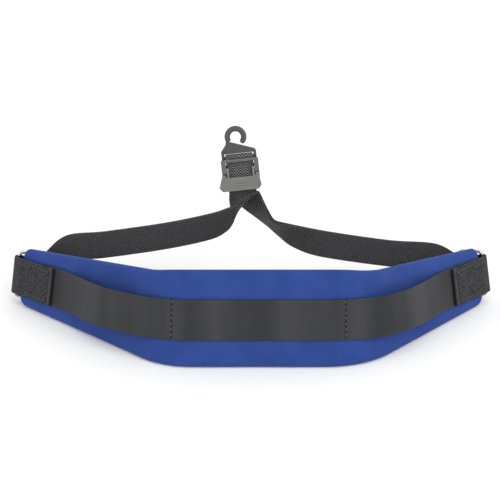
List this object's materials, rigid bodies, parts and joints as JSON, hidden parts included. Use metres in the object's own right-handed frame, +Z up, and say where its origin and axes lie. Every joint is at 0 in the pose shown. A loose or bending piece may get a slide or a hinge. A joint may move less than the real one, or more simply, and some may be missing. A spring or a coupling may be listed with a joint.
{
  "type": "saxophone neck strap",
  "caption": "Padded neck strap with a curved collar, webbing legs on wire rings, a cam slider and an open hook that carries an instrument.",
  "frame": {"origin": "on the surface it stands on, below the middle of the whole strap", "axes": "+X along the collar's length, +Y from the padded front towards the webbing and hook, +Z up"},
  "size_m": [0.3571, 0.1189, 0.1374],
  "materials": {
    "jersey_blue": "knitted nylon jersey bonded to the foam, soft sheen",
    "foam": "closed-cell neoprene foam, cut edge",
    "lining": "charcoal knitted nylon jersey",
    "strip": "satin-faced coated cloth",
    "tab_webbing": "pebbled woven webbing",
    "webbing": "herringbone woven webbing",
    "thread": "bonded nylon thread",
    "ring_wire": "plated steel wire",
    "slider_plastic": "moulded plastic, fine grain",
    "lever_plastic": "moulded plastic, worn matte face",
    "hook_plastic": "moulded plastic, fine grain",
    "pin_steel": "plain steel"
  },
  "bodies": {
    "collar": {"front_jersey": "jersey_blue", "pad_core": "foam", "back_lining": "lining", "front_strip": "strip", "left_strip_stitches": "thread", "right_strip_stitches": "thread", "left_tab": "tab_webbing", "left_tab_stitches": "thread", "right_tab": "tab_webbing", "right_tab_stitches": "thread", "slider_frame": "slider_plastic", "pivot_pins": "pin_steel", "webbing_anchor": "webbing", "left_leg": "webbing", "right_leg": "webbing"},
    "left_ring": {"left_ring": "ring_wire"},
    "right_ring": {"right_ring": "ring_wire"},
    "cam_lever": {"cam_lever": "lever_plastic"},
    "webbing_loop": {"webbing_loop": "webbing"},
    "hook_hanger": {"hook_hanger": "hook_plastic"}
  },
  "joints": [
    {"name": "left_ring_swing", "type": "hinge", "parent": "collar", "child": "left_ring", "pos_m": [-0.17348, 0.04429, 0.021], "axis": [0.1258, 0.1457, 0.9813], "range_deg": [-4, 4]},
    {"name": "right_ring_swing", "type": "hinge", "parent": "collar", "child": "right_ring", "pos_m": [0.17336, 0.04598, 0.02098], "axis": [-0.1392, 0.133, 0.9813], "range_deg": [-4, 4]},
    {"name": "cam_lever_hinge", "type": "hinge", "parent": "collar", "child": "cam_lever", "pos_m": [-0.00765, 0.0403, 0.10891], "axis": [-0.9945, -0.0323, -0.0994], "range_deg": [0, 60]},
    {"name": "strap_length", "type": "slide", "parent": "collar", "child": "webbing_loop", "axis": [-0.1045, 0.3073, 0.9458], "range_m": [0, 0.01]},
    {"name": "hook_swing", "type": "hinge", "parent": "webbing_loop", "child": "hook_hanger", "pos_m": [-0.00851, 0.04618, 0.11568], "axis": [0.9945, 0.0323, 0.0994], "range_deg": [-15, 15]}
  ]
}
